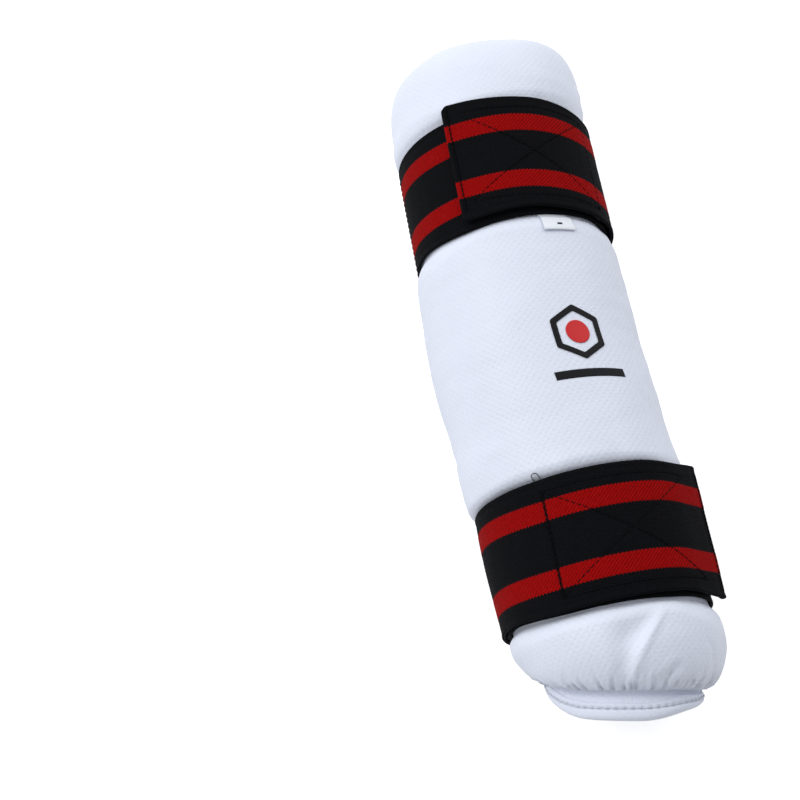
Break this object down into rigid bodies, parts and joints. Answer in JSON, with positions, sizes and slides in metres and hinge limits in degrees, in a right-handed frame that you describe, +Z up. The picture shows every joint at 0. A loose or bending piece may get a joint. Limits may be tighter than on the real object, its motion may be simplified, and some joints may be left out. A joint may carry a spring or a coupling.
{
  "type": "forearm guard",
  "caption": "Padded half-tube forearm guard in white coated fabric with a foam shell and two striped elastic straps that close with hook patches.",
  "frame": {"origin": "centre of the bounding box in X and Y, on the plane the two back runs of the straps rest on", "axes": "+Y along the guard to its far (unslanted) end, +Z up out of the padded crown, +X to the side the upper strap closes from"},
  "size_m": [0.0852, 0.28, 0.0628],
  "materials": {
    "cover_leather": "satin white coated fabric, finely embossed, slightly cool",
    "foam": "matt closed-cell foam",
    "lining_fabric": "matt knitted lining",
    "striped_elastic": "matt brushed black elastic with two red stripes",
    "hook_patch": "matt black hook tape",
    "white_thread": "satin white thread",
    "black_thread": "matt black thread",
    "print_black": "satin black heat transfer",
    "print_red": "satin red heat transfer",
    "satin_label": "satin white woven tag"
  },
  "bodies": {
    "shell": {"outer_cover": "cover_leather", "impact_foam": "foam", "comfort_foam": "foam", "lining": "lining_fabric", "edge_binding": "cover_leather", "binding_stitch": "white_thread", "size_label": "satin_label", "emblem_ring": "print_black", "emblem_centre": "print_red", "emblem_bar": "print_black", "upper_front_band": "striped_elastic", "upper_start_stitch": "black_thread", "upper_anchor_stitch": "black_thread", "lower_front_band": "striped_elastic", "lower_start_stitch": "black_thread", "lower_anchor_stitch": "black_thread"},
    "upper_back_run": {"upper_back_run": "striped_elastic"},
    "upper_side_run": {"upper_side_run": "striped_elastic"},
    "upper_tab": {"upper_tab_band": "striped_elastic", "upper_hook_patch": "hook_patch", "upper_box_stitch": "black_thread", "upper_cross_stitch": "black_thread"},
    "upper_pull_end": {"upper_pull_end": "striped_elastic", "upper_hem_stitch": "black_thread"},
    "lower_back_run": {"lower_back_run": "striped_elastic"},
    "lower_side_run": {"lower_side_run": "striped_elastic"},
    "lower_shoulder_run": {"lower_shoulder_run": "striped_elastic"},
    "lower_tab": {"lower_tab_band": "striped_elastic", "lower_hook_patch": "hook_patch", "lower_box_stitch": "black_thread", "lower_cross_stitch": "black_thread"},
    "lower_pull_end": {"lower_pull_end": "striped_elastic", "lower_hem_stitch": "black_thread"}
  },
  "joints": [
    {"name": "upper_strap_unwrap", "type": "hinge", "parent": "shell", "child": "upper_back_run", "pos_m": [-0.03932, 0.07167, 0.01325], "axis": [0, 1, 0], "range_deg": [0, 60]},
    {"name": "upper_strap_side_bend", "type": "hinge", "parent": "upper_back_run", "child": "upper_side_run", "pos_m": [0.01236, 0.07167, 0], "axis": [0, 1, 0], "range_deg": [0, 54.5]},
    {"name": "upper_strap_tab_bend", "type": "hinge", "parent": "upper_side_run", "child": "upper_tab", "pos_m": [0.03308, 0.07167, 0.0414], "axis": [0, 1, 0], "range_deg": [0, 60.5]},
    {"name": "upper_strap_pull_end_lift", "type": "hinge", "parent": "upper_tab", "child": "upper_pull_end", "pos_m": [-0.01858, 0.07167, 0.05887], "axis": [0, 1, 0], "range_deg": [0, 60]},
    {"name": "lower_strap_unwrap", "type": "hinge", "parent": "shell", "child": "lower_back_run", "pos_m": [0.03953, -0.07833, 0.01325], "axis": [0, -1, 0], "range_deg": [0, 60]},
    {"name": "lower_strap_side_bend", "type": "hinge", "parent": "lower_back_run", "child": "lower_side_run", "pos_m": [-0.01214, -0.07833, 0], "axis": [0, -1, 0], "range_deg": [0, 52.1]},
    {"name": "lower_strap_shoulder_bend", "type": "hinge", "parent": "lower_side_run", "child": "lower_shoulder_run", "pos_m": [-0.03743, -0.07833, 0.02806], "axis": [0, -1, 0], "range_deg": [0, 49.1]},
    {"name": "lower_strap_tab_bend", "type": "hinge", "parent": "lower_shoulder_run", "child": "lower_tab", "pos_m": [-0.01709, -0.07833, 0.05695], "axis": [0, -1, 0], "range_deg": [0, 66.5]},
    {"name": "lower_strap_pull_end_lift", "type": "hinge", "parent": "lower_tab", "child": "lower_pull_end", "pos_m": [0.04123, -0.07833, 0.03561], "axis": [0, -1, 0], "range_deg": [0, 60]}
  ],
  "couplings": [
    {"joint": "upper_strap_side_bend", "follows": "upper_strap_unwrap", "ratio": 0.9},
    {"joint": "upper_strap_tab_bend", "follows": "upper_strap_unwrap", "ratio": 1},
    {"joint": "lower_strap_side_bend", "follows": "lower_strap_unwrap", "ratio": 0.86},
    {"joint": "lower_strap_shoulder_bend", "follows": "lower_strap_unwrap", "ratio": 0.81},
    {"joint": "lower_strap_tab_bend", "follows": "lower_strap_unwrap", "ratio": 1.1}
  ]
}
